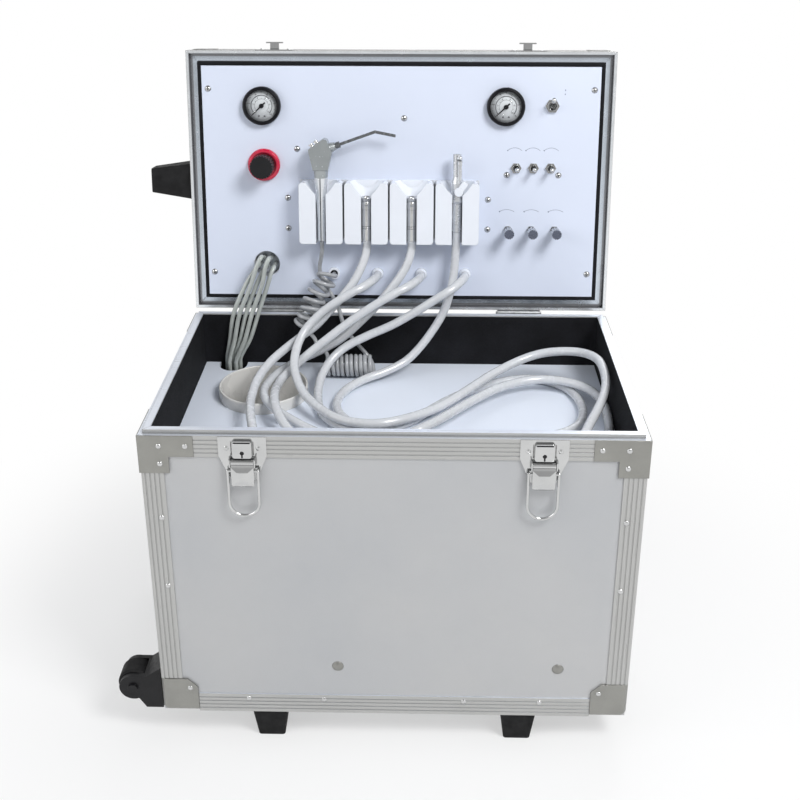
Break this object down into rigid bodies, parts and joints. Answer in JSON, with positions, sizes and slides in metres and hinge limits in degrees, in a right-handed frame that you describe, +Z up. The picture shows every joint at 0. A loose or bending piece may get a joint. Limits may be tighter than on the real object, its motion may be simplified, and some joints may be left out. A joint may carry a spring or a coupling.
{
  "type": "portable dental unit",
  "caption": "Hinged aluminium-edged trolley case with a control panel and instrument holders in its lid and a deck with rinse cup over a compressor set in its base.",
  "frame": {"origin": "bottom centre of the outline with the lid open: on the floor under the four feet, midway between the wheels' outer side and the carry handle, and between the latches and the lid's back", "axes": "+Z up, +Y from the front face with the latches to the hinges, +X along the front face to the right as seen by the user"},
  "size_m": [0.545, 0.3998, 0.668],
  "materials": {
    "alloy": "brushed",
    "board_silver": "satin laminate",
    "nickel": "nickel plated",
    "chrome": "polished",
    "steel": "satin",
    "black_rubber": "matt",
    "black_plastic": "matt",
    "foam_black": "matt closed-cell foam",
    "white_sheet": "matt powder coat",
    "white_plastic": "satin",
    "ivory_plastic": "satin",
    "grey_plastic": "satin",
    "red_plastic": "gloss",
    "motor_grey": "satin",
    "hose_grey": "satin",
    "tube_clear": "satin"
  },
  "bodies": {
    "base": {"base_wall_panels": "board_silver", "base_floor": "board_silver", "base_rim": "alloy", "base_edge_profiles": "alloy", "base_corner_armour": "nickel", "foam_liner": "foam_black", "deck_board": "white_plastic", "inner_frame": "steel", "rinse_cup": "ivory_plastic", "rubber_feet": "black_rubber", "wheel_brackets": "black_plastic", "latch_plates": "chrome", "hinge_base_leaves": "steel", "handle_bracket": "chrome", "compressor": "motor_grey", "air_tank": "steel", "bottles": "white_plastic", "rear_services": "black_plastic", "coil_hose": "hose_grey", "handpiece_hoses": "hose_grey", "suction_hose": "hose_grey", "tube_bundle": "tube_clear"},
    "lid": {"hinge_lid_leaves": "steel", "lid_shell": "board_silver", "lid_frame": "alloy", "lid_catches": "chrome", "side_foot": "black_rubber", "lid_gasket": "foam_black", "control_panel": "white_sheet", "panel_screws": "chrome", "gauge_cases": "black_plastic", "regulator_body": "red_plastic", "valve_bodies": "chrome", "instrument_holders": "white_plastic", "hose_outlets": "white_plastic", "syringe_body": "chrome", "handpiece_connectors": "chrome", "suction_handle": "grey_plastic"},
    "wheel_front": {"wheel_front": "black_rubber"},
    "wheel_rear": {"wheel_rear": "black_rubber"},
    "latch_lever_left": {"latch_lever_left": "chrome"},
    "latch_lever_right": {"latch_lever_right": "chrome"},
    "latch_bail_left": {"latch_bail_left": "chrome"},
    "latch_bail_right": {"latch_bail_right": "chrome"},
    "carry_handle": {"carry_handle": "black_plastic"},
    "fan_rotor": {"fan_rotor": "black_plastic"},
    "gauge_needle_left": {"gauge_needle_left": "black_plastic"},
    "gauge_needle_right": {"gauge_needle_right": "black_plastic"},
    "regulator_knob": {"regulator_knob": "black_plastic"},
    "power_lever": {"power_lever": "chrome"},
    "toggle_lever_1": {"toggle_lever_1": "chrome"},
    "toggle_lever_2": {"toggle_lever_2": "chrome"},
    "toggle_lever_3": {"toggle_lever_3": "chrome"},
    "needle_knob_1": {"needle_knob_1": "grey_plastic"},
    "needle_knob_2": {"needle_knob_2": "grey_plastic"},
    "needle_knob_3": {"needle_knob_3": "grey_plastic"},
    "syringe_button_air": {"syringe_button_air": "chrome"},
    "syringe_button_water": {"syringe_button_water": "chrome"},
    "syringe_nozzle": {"syringe_nozzle": "chrome"},
    "suction_lever": {"suction_lever": "white_plastic"}
  },
  "joints": [
    {"name": "lid_hinge", "type": "hinge", "parent": "base", "child": "lid", "pos_m": [0.0155, 0.10967, 0.3632], "axis": [1, 0, 0], "range_deg": [0, 97.75], "deforming": ["coil_hose", "handpiece_hoses", "suction_hose", "tube_bundle"]},
    {"name": "latch_lever_left_pivot", "type": "hinge", "parent": "base", "child": "latch_lever_left", "pos_m": [-0.126, -0.19493, 0.336], "axis": [1, 0, 0], "range_deg": [-95, 0]},
    {"name": "latch_bail_left_swing", "type": "hinge", "parent": "latch_lever_left", "child": "latch_bail_left", "pos_m": [-0.126, -0.19493, 0.327], "axis": [-1, 0, 0], "range_deg": [0, 180]},
    {"name": "latch_lever_right_pivot", "type": "hinge", "parent": "base", "child": "latch_lever_right", "pos_m": [0.157, -0.19493, 0.336], "axis": [1, 0, 0], "range_deg": [-95, 0]},
    {"name": "latch_bail_right_swing", "type": "hinge", "parent": "latch_lever_right", "child": "latch_bail_right", "pos_m": [0.157, -0.19493, 0.327], "axis": [-1, 0, 0], "range_deg": [0, 180]},
    {"name": "wheel_front_spin", "type": "hinge", "parent": "base", "child": "wheel_front", "pos_m": [-0.2555, -0.16893, 0.061], "axis": [0, 1, 0], "continuous": true},
    {"name": "wheel_rear_spin", "type": "hinge", "parent": "base", "child": "wheel_rear", "pos_m": [-0.2555, 0.08507, 0.061], "axis": [0, 1, 0], "continuous": true},
    {"name": "carry_handle_swing", "type": "hinge", "parent": "base", "child": "carry_handle", "pos_m": [0.2655, -0.04193, 0.272], "axis": [0, -1, 0], "range_deg": [0, 90]},
    {"name": "fan_spin", "type": "hinge", "parent": "base", "child": "fan_rotor", "pos_m": [0.1055, 0.08687, 0.226], "axis": [0, 1, 0], "continuous": true},
    {"name": "gauge_needle_left_turn", "type": "hinge", "parent": "lid", "child": "gauge_needle_left", "pos_m": [-0.1405, 0.13626, 0.60089], "axis": [0, 0.9909, -0.1349], "range_deg": [0, 266]},
    {"name": "gauge_needle_right_turn", "type": "hinge", "parent": "lid", "child": "gauge_needle_right", "pos_m": [0.1335, 0.13626, 0.60089], "axis": [0, 0.9909, -0.1349], "range_deg": [0, 266]},
    {"name": "regulator_turn", "type": "hinge", "parent": "lid", "child": "regulator_knob", "pos_m": [-0.1397, 0.11739, 0.53634], "axis": [0, 0.9909, -0.1349], "continuous": true},
    {"name": "power_lever_tilt", "type": "hinge", "parent": "lid", "child": "power_lever", "pos_m": [0.1855, 0.14135, 0.6012], "axis": [1, 0, 0], "range_deg": [0, 50]},
    {"name": "toggle_lever_1_tilt", "type": "hinge", "parent": "lid", "child": "toggle_lever_1", "pos_m": [0.1467, 0.13193, 0.53194], "axis": [1, 0, 0], "range_deg": [-20, 20]},
    {"name": "toggle_lever_2_tilt", "type": "hinge", "parent": "lid", "child": "toggle_lever_2", "pos_m": [0.1663, 0.13193, 0.53194], "axis": [1, 0, 0], "range_deg": [-20, 20]},
    {"name": "toggle_lever_3_tilt", "type": "hinge", "parent": "lid", "child": "toggle_lever_3", "pos_m": [0.1859, 0.13193, 0.53194], "axis": [1, 0, 0], "range_deg": [-20, 20]},
    {"name": "needle_knob_1_turn", "type": "hinge", "parent": "lid", "child": "needle_knob_1", "pos_m": [0.1391, 0.10745, 0.46331], "axis": [0, 0.9909, -0.1349], "continuous": true},
    {"name": "needle_knob_2_turn", "type": "hinge", "parent": "lid", "child": "needle_knob_2", "pos_m": [0.1658, 0.10745, 0.46331], "axis": [0, 0.9909, -0.1349], "continuous": true},
    {"name": "needle_knob_3_turn", "type": "hinge", "parent": "lid", "child": "needle_knob_3", "pos_m": [0.1925, 0.10745, 0.46331], "axis": [0, 0.9909, -0.1349], "continuous": true},
    {"name": "syringe_button_air_press", "type": "slide", "parent": "lid", "child": "syringe_button_air", "axis": [0.575, -0.1103, -0.8107], "range_m": [0, 0.002], "stiffness_N_per_m": 150, "springref_m": -0.002},
    {"name": "syringe_button_water_press", "type": "slide", "parent": "lid", "child": "syringe_button_water", "axis": [0.575, -0.1103, -0.8107], "range_m": [0, 0.002], "stiffness_N_per_m": 150, "springref_m": -0.002},
    {"name": "syringe_nozzle_swivel", "type": "hinge", "parent": "lid", "child": "syringe_nozzle", "pos_m": [-0.0736, 0.11779, 0.55415], "axis": [0.9421, 0.0452, 0.3324], "continuous": true},
    {"name": "suction_lever_turn", "type": "hinge", "parent": "lid", "child": "suction_lever", "pos_m": [0.0815, 0.10397, 0.51193], "axis": [0, 0.9909, -0.1349], "range_deg": [-70, 0]}
  ]
}
